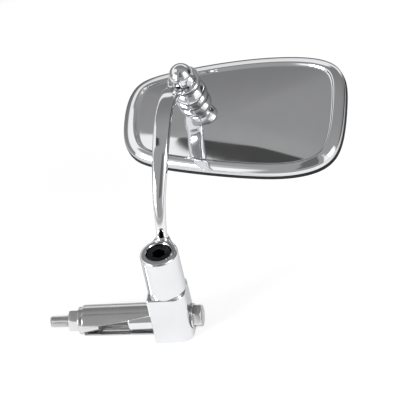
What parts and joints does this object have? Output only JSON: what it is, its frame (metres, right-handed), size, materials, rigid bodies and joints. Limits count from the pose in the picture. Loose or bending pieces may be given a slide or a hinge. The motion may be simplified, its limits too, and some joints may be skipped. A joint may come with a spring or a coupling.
{
  "type": "bar end mirror",
  "caption": "Chromed bar end mirror: rounded rectangular head on a ball joint, arched arm that swings on a screwed hub, square block and an expanding plug for a tubular handlebar",
  "frame": {"origin": "Centre of the block's bar-side face, on the axis of the expander bolt: the point that sits in the middle of the bar's open end.", "axes": "+X runs along the expander bolt out of the bar end, towards the bolt's head. +Z is the axis of the pivot screw that the arm swings on, out of the hub's top. +Y completes the frame and points from the hub towards the mirror head at rest."},
  "size_m": [0.149, 0.112, 0.1058],
  "materials": {
    "chrome": "bright chrome plate on a smooth casting or pressing",
    "zinc_steel": "bright zinc plated steel, faint machining marks",
    "black_steel": "black oxide on steel, lightly oiled",
    "black_rubber": "soft black rubber, matte",
    "foam_pad": "thin dark foam pad",
    "silvered_glass": "silvered flat glass",
    "washer_plastic": "natural nylon, matte"
  },
  "bodies": {
    "block": {"bar_block": "chrome", "arm_screw": "black_steel", "screw_spring_washer": "black_steel", "pivot_washer": "washer_plastic", "bolt_washer": "zinc_steel"},
    "arm": {"mirror_arm": "chrome"},
    "swivel": {"swivel_bolt": "zinc_steel", "lock_washer": "zinc_steel", "acorn_nut": "chrome"},
    "cup": {"clamp_cup": "zinc_steel"},
    "head": {"back_shell": "chrome", "swivel_dome": "chrome", "edge_seal": "black_rubber", "mirror_glass": "silvered_glass", "backing_pad": "foam_pad"},
    "through_bolt": {"expander_bolt": "zinc_steel"},
    "cone_and_nut": {"expander_cone": "zinc_steel", "expander_nut": "zinc_steel"},
    "upper_half": {"upper_sleeve": "zinc_steel"},
    "lower_half": {"lower_sleeve": "zinc_steel"}
  },
  "joints": [
    {"name": "arm_swing", "type": "hinge", "parent": "block", "child": "arm", "pos_m": [0.0094, 0, 0.0305], "axis": [0, 0, 1], "continuous": true},
    {"name": "mirror_roll", "type": "hinge", "parent": "arm", "child": "swivel", "pos_m": [0.0206, 0.0784, 0.0741], "axis": [-0.0584, -0.2924, 0.9545], "range_deg": [-45, 150]},
    {"name": "mirror_tilt_a", "type": "hinge", "parent": "swivel", "child": "cup", "pos_m": [0.0206, 0.0784, 0.0741], "axis": [0.9981, 0, 0.061], "range_deg": [-8, 8]},
    {"name": "mirror_tilt_b", "type": "hinge", "parent": "cup", "child": "head", "pos_m": [0.0206, 0.0784, 0.0741], "axis": [-0.0178, 0.9563, 0.2918], "range_deg": [-8, 8]},
    {"name": "bolt_turn", "type": "hinge", "parent": "block", "child": "through_bolt", "pos_m": [0, 0, 0], "axis": [-1, 0, 0], "range_deg": [0, 902]},
    {"name": "nut_slide", "type": "slide", "parent": "block", "child": "cone_and_nut", "axis": [1, 0, 0], "range_m": [0, 0.0025]},
    {"name": "upper_slide", "type": "slide", "parent": "block", "child": "upper_half", "axis": [0, 0, 1], "range_m": [0, 0.000352]},
    {"name": "lower_slide", "type": "slide", "parent": "block", "child": "lower_half", "axis": [0, 0, -1], "range_m": [0, 0.000352]}
  ],
  "couplings": [
    {"joint": "bolt_turn", "follows": "nut_slide", "rad_per_m": 6283.2},
    {"joint": "upper_slide", "follows": "nut_slide", "ratio": 0.1405},
    {"joint": "lower_slide", "follows": "nut_slide", "ratio": 0.1405}
  ]
}
